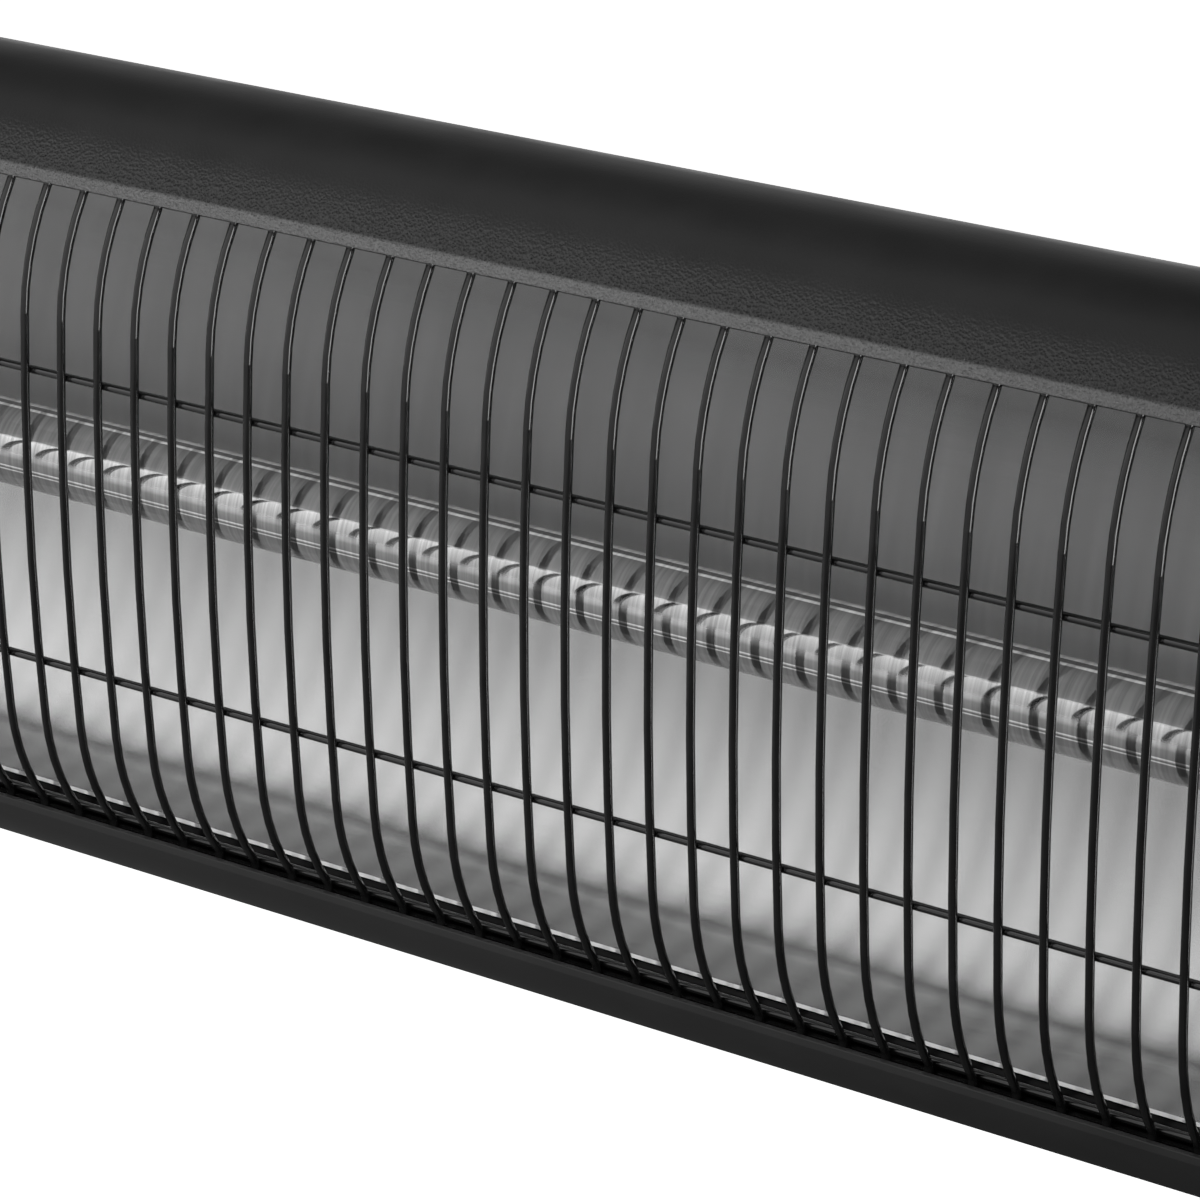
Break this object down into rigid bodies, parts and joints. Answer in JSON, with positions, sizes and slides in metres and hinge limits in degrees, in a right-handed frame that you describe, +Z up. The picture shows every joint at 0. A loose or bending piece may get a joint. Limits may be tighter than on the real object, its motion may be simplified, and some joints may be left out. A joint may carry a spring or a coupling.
{
  "type": "wall infrared heater",
  "caption": "Long black bar heater with a tube lamp before a polished reflector, behind a bowed wire guard, hung on tilting wall brackets with locking knobs.",
  "frame": {"origin": "on the wall plane, at the centre of the four wall screws, level with the tilt axis", "axes": "+X along the heater to its right end seen from the front, +Y into the wall, +Z up"},
  "size_m": [0.9102, 0.1296, 0.1884],
  "materials": {
    "housing_paint": "black powder coat, fine leather grain",
    "cap_paint": "black, fine leather grain",
    "guard_paint": "satin black",
    "reflector_sheet": "bright rolled",
    "bulkhead_sheet": "brushed",
    "quartz": "opaque silvery coat",
    "element_metal": "dull",
    "white_ceramic": "unglazed",
    "zinc_steel": "zinc plated",
    "black_screw": "black oxide",
    "bracket_paint": "black powder coat",
    "seal_rubber": "matte",
    "knob_plastic": "fine moulded grain",
    "washer_nylon": "natural",
    "gland_nylon": "moulded",
    "switch_plastic": "moulded",
    "rocker_plastic": "polished",
    "lead_sleeve": "glass-braid sleeve"
  },
  "bodies": {
    "wall_mount": {"left_wall_bracket": "bracket_paint", "right_wall_bracket": "bracket_paint"},
    "head": {"bulkhead_screws": "zinc_steel", "cable_gland": "gland_nylon", "cutout_lead": "lead_sleeve", "end_cap_screws": "black_screw", "friction_washers": "washer_nylon", "gland_dome": "gland_nylon", "gland_locknut": "gland_nylon", "guard_retainers": "guard_paint", "guard_rods": "guard_paint", "guard_wires": "guard_paint", "heating_element": "element_metal", "holder_screws": "zinc_steel", "housing_shell": "housing_paint", "lamp_lead_left": "lead_sleeve", "lamp_lead_right": "lead_sleeve", "left_bulkhead": "bulkhead_sheet", "left_end_cap": "cap_paint", "left_gasket": "seal_rubber", "left_lamp_end": "white_ceramic", "left_lamp_holder": "zinc_steel", "left_lug": "bracket_paint", "lug_screws": "black_screw", "quartz_tube": "quartz", "reflector": "reflector_sheet", "right_bulkhead": "bulkhead_sheet", "right_end_cap": "cap_paint", "right_gasket": "seal_rubber", "right_lamp_end": "white_ceramic", "right_lamp_holder": "zinc_steel", "right_lug": "bracket_paint", "stop_pins": "zinc_steel", "switch_body": "switch_plastic", "terminal_block": "white_ceramic", "thermal_cutout": "zinc_steel", "weld_nuts": "zinc_steel"},
    "left_lock": {"left_knob": "knob_plastic", "left_knob_stud": "zinc_steel"},
    "right_lock": {"right_knob": "knob_plastic", "right_knob_stud": "zinc_steel"},
    "rocker": {"switch_rocker": "rocker_plastic"}
  },
  "joints": [
    {"name": "head_tilt", "type": "hinge", "parent": "wall_mount", "child": "head", "pos_m": [0, -0.048, 0], "axis": [1, 0, 0], "range_deg": [0, 45]},
    {"name": "left_lock_turn", "type": "hinge", "parent": "head", "child": "left_lock", "pos_m": [-0.2, -0.048, 0], "axis": [-1, 0, 0], "range_deg": [0, 360]},
    {"name": "right_lock_turn", "type": "hinge", "parent": "head", "child": "right_lock", "pos_m": [0.2, -0.048, 0], "axis": [1, 0, 0], "range_deg": [0, 360]},
    {"name": "switch_rock", "type": "hinge", "parent": "head", "child": "rocker", "pos_m": [0.4455, -0.0929, 0.05799], "axis": [0, 1, 0], "range_deg": [-20, 0]}
  ]
}
